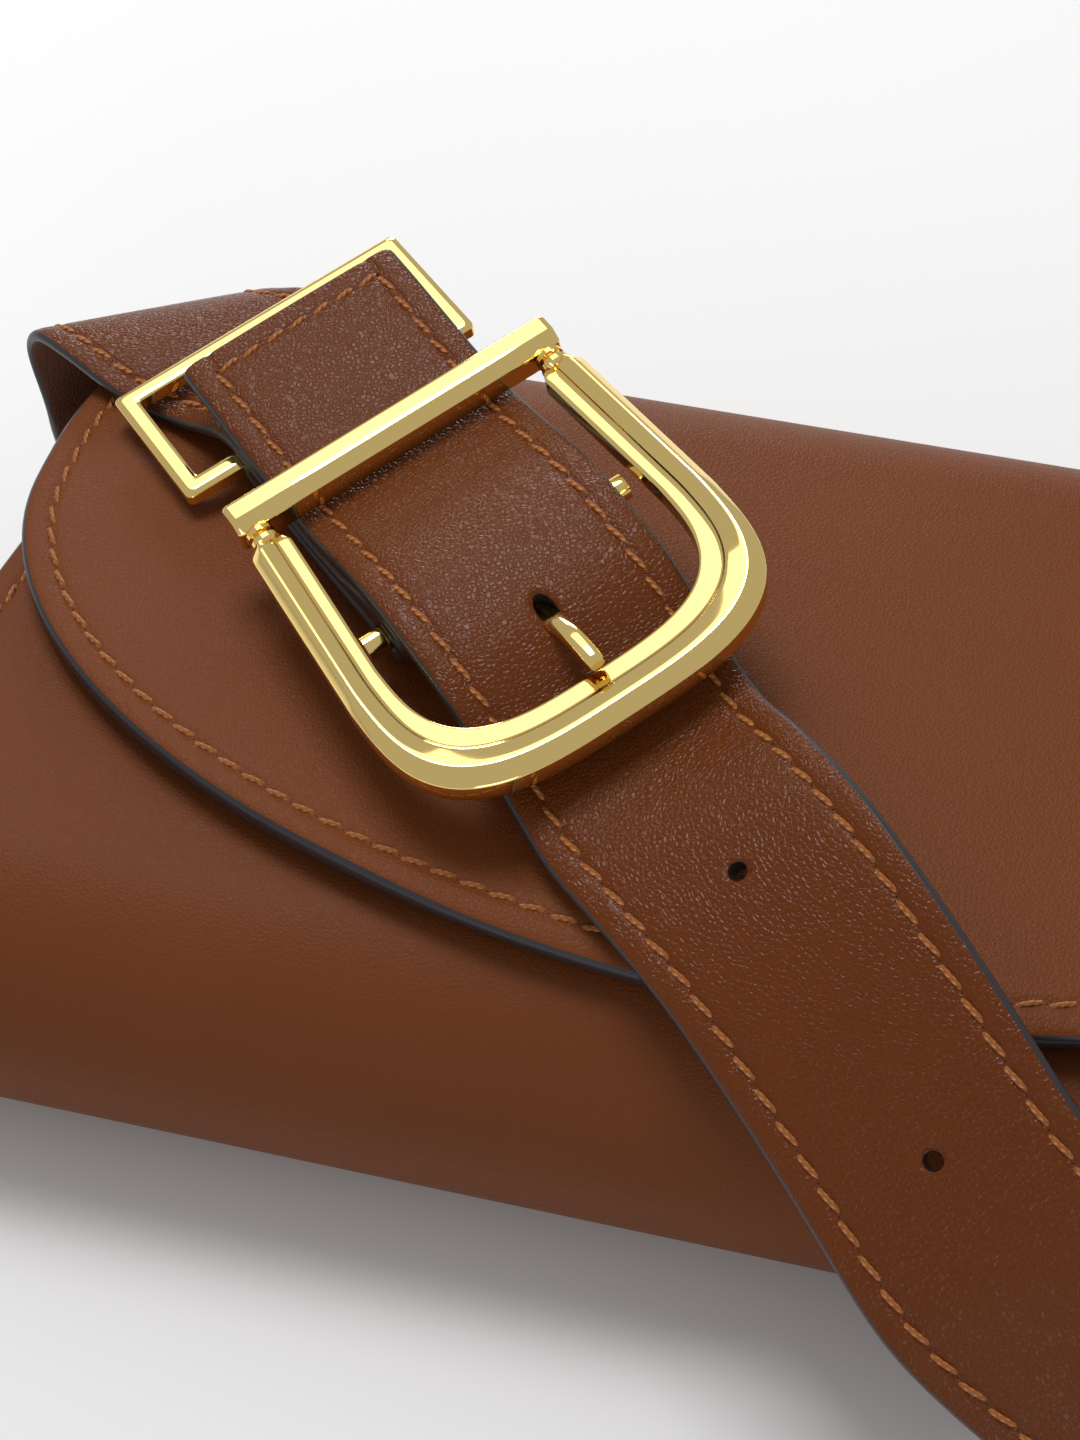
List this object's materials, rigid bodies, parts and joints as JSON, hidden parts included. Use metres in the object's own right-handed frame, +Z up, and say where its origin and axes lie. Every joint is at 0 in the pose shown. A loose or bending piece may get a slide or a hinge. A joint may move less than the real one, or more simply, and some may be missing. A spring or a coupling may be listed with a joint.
{
  "type": "flap shoulder bag",
  "caption": "Slim leather shoulder bag lying on its back, its rounded flap crossed by a wide stitched strap with a large D-shaped pin buckle.",
  "frame": {"origin": "middle of the back panel's flat outer face, on the surface that the bag lies on", "axes": "+Z up, out of the bag's front; +X along the bag to the right as seen from the front; +Y towards the flap's hinge"},
  "size_m": [0.3344, 0.1924, 0.0898],
  "materials": {
    "leather": "satin",
    "strap_leather": "satin",
    "leather_inner": "satin",
    "lining": "matte",
    "board": "matte",
    "gold": "polished",
    "steel": "polished"
  },
  "bodies": {
    "body": {"wrap_panel": "leather", "gusset_left": "leather", "gusset_right": "leather", "base_board": "board", "lining": "lining", "slip_pocket": "lining", "snap_socket": "steel", "snap_socket_washer": "steel", "chape_left": "strap_leather", "chape_right": "strap_leather", "rivet_left_1": "gold", "rivet_left_2": "gold", "rivet_right_1": "gold", "rivet_right_2": "gold"},
    "flap": {"flap_panel": "leather", "flap_lining": "leather_inner", "snap_stud": "steel"},
    "strap": {"long_strap": "strap_leather", "buckle_strap": "strap_leather"},
    "buckle": {"buckle_frame": "gold", "buckle_crossbar": "gold", "pin_bar": "gold"},
    "prong": {"prong": "gold"},
    "slide_ring": {"slide_ring": "gold"}
  },
  "joints": [
    {"name": "strap_swing", "type": "hinge", "parent": "body", "child": "strap", "pos_m": [0, 0.07, 0.008], "axis": [-1, 0, 0], "range_deg": [0, 100]},
    {"name": "flap_hinge", "type": "hinge", "parent": "body", "child": "flap", "pos_m": [0, 0.07, 0.008], "axis": [-1, 0, 0], "range_deg": [0, 95]},
    {"name": "buckle_tilt", "type": "hinge", "parent": "strap", "child": "buckle", "pos_m": [-0.04998, 0.00406, 0.07408], "axis": [0.6807, 0.7049, 0.1994], "range_deg": [-1, 1]},
    {"name": "prong_hinge", "type": "hinge", "parent": "buckle", "child": "prong", "pos_m": [-0.04998, 0.00406, 0.07408], "axis": [-0.6807, -0.7049, -0.1994], "range_deg": [0, 6]},
    {"name": "ring_shift", "type": "slide", "parent": "strap", "child": "slide_ring", "axis": [0.7193, -0.6947, 0], "range_m": [-0.0007, 0.0025]}
  ],
  "couplings": [
    {"joint": "flap_hinge", "follows": "strap_swing", "ratio": 0.95}
  ]
}
